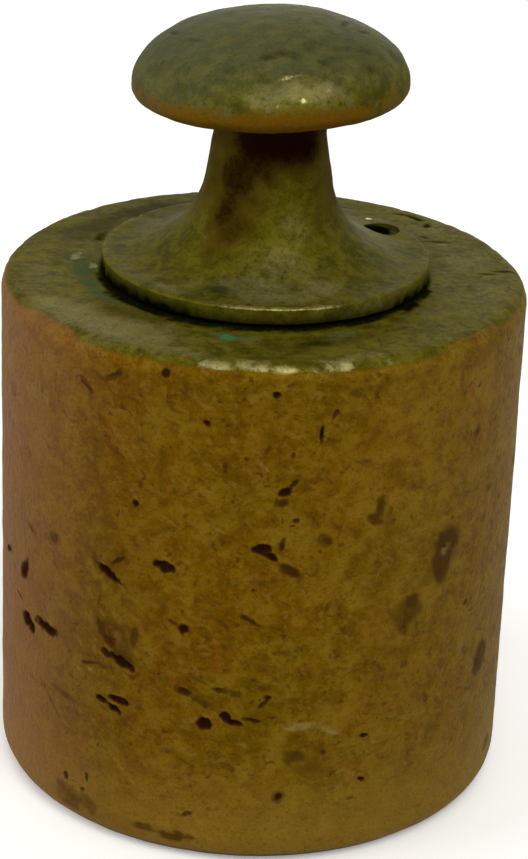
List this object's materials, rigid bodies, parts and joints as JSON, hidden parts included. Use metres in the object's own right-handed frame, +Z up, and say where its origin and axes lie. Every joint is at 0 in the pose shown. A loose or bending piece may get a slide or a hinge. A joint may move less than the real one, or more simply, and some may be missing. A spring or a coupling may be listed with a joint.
{
  "type": "calibration weight",
  "caption": "Cylindrical brass calibration weight with a screwed-in mushroom knob that closes its adjusting chamber, worn and pitted from use.",
  "frame": {"origin": "centre of the flat base, on the surface that the weight stands on", "axes": "+Z up along the axis of the turned body; the locking hole in the flange lies at 33 degrees from +X towards +Y; the knob's head leans towards -X"},
  "size_m": [0.052, 0.052, 0.0786],
  "materials": {
    "body_brass": "satin",
    "knob_brass": "satin",
    "lead": "matte"
  },
  "bodies": {
    "body": {"body": "body_brass", "adjusting_lead": "lead"},
    "knob": {"knob": "knob_brass"}
  },
  "joints": [
    {"name": "knob_unscrew", "type": "hinge", "parent": "body", "child": "knob", "pos_m": [0, 0, 0.0527], "axis": [0, 0, 1], "range_deg": [0, 1620]}
  ]
}
